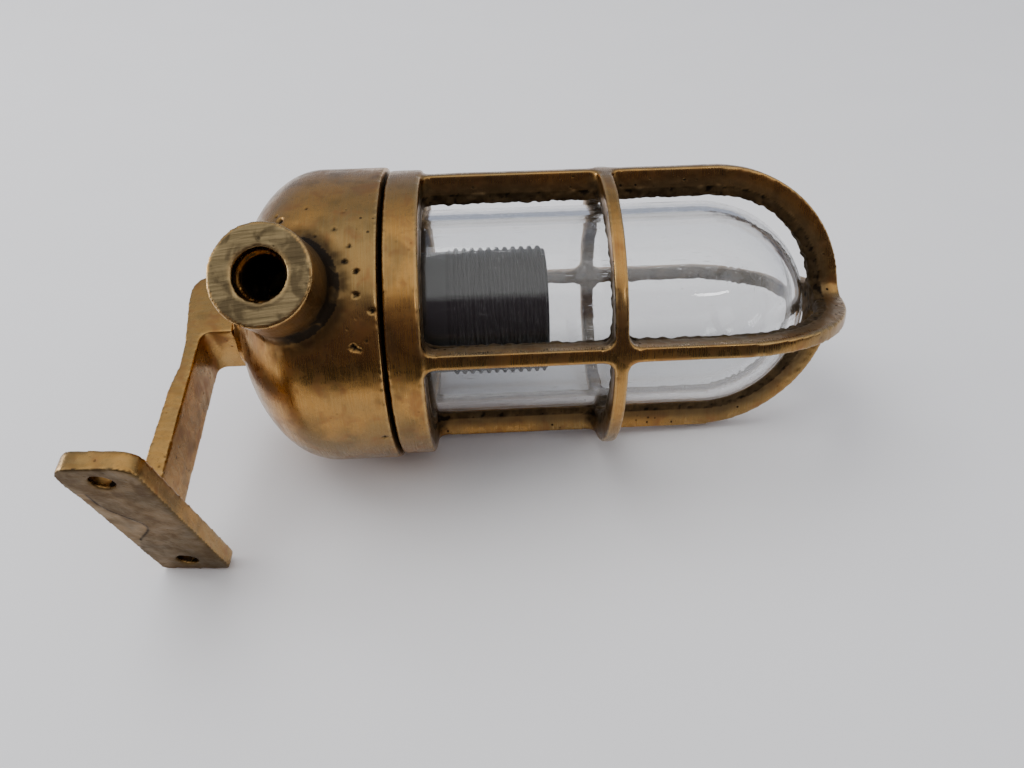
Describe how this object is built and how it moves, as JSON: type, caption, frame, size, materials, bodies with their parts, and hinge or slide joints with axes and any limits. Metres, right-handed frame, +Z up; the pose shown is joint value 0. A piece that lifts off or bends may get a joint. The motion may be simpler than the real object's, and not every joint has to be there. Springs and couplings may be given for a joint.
{
  "type": "ship lantern",
  "caption": "Guarded brass ship's lantern with a clear well glass, a screw lampholder, a cable boss and an arm with a wall plate.",
  "frame": {"origin": "on the surface that the lantern lies on, under the middle of its box", "axes": "+X runs along the lantern towards the tip of its cage, -Y is the side of the wall plate, +Z is up as it lies at rest"},
  "size_m": [0.2133, 0.119, 0.098],
  "materials": {
    "canopy_brass": "aged cast brass, rubbed satin",
    "bracket_brass": "aged cast brass, rubbed satin",
    "cage_brass": "aged cast brass, polished outside and dark inside",
    "globe_glass": "clear pressed glass with light scratches",
    "gasket_rubber": "matt",
    "holder_bakelite": "black moulded phenolic",
    "insert_porcelain": "unglazed porcelain",
    "contact_brass": "bright drawn brass",
    "plated_steel": "dull zinc plate"
  },
  "bodies": {
    "canopy": {"bracket_nut": "contact_brass", "bracket_seal": "gasket_rubber", "bracket_washer": "contact_brass", "canopy": "canopy_brass", "canopy_gasket": "gasket_rubber", "centre_contact": "contact_brass", "earth_screw": "contact_brass", "earth_washer": "contact_brass", "holder_cap": "holder_bakelite", "holder_insert": "insert_porcelain", "holder_skirt": "holder_bakelite", "mounting_strap": "plated_steel", "nipple": "plated_steel", "nipple_locknut": "plated_steel", "screw_shell": "contact_brass", "side_contact": "contact_brass", "strap_screws": "plated_steel", "strap_washers": "plated_steel", "terminal_blocks": "contact_brass", "terminal_screws": "plated_steel", "wall_bracket": "bracket_brass"},
    "globe": {"glass_globe": "globe_glass", "cage_gasket": "gasket_rubber"},
    "cage": {"cage": "cage_brass"}
  },
  "joints": [
    {"name": "globe_slide", "type": "slide", "parent": "canopy", "child": "globe", "axis": [0.9995, 0, -0.0304], "range_m": [0, 0.0069]},
    {"name": "cage_unscrew", "type": "hinge", "parent": "globe", "child": "cage", "pos_m": [-0.03134, 0.01519, 0.04448], "axis": [0.9995, 0, -0.0304], "range_deg": [0, 832]}
  ],
  "couplings": [
    {"joint": "cage_unscrew", "follows": "globe_slide", "rad_per_m": 2094.4}
  ]
}
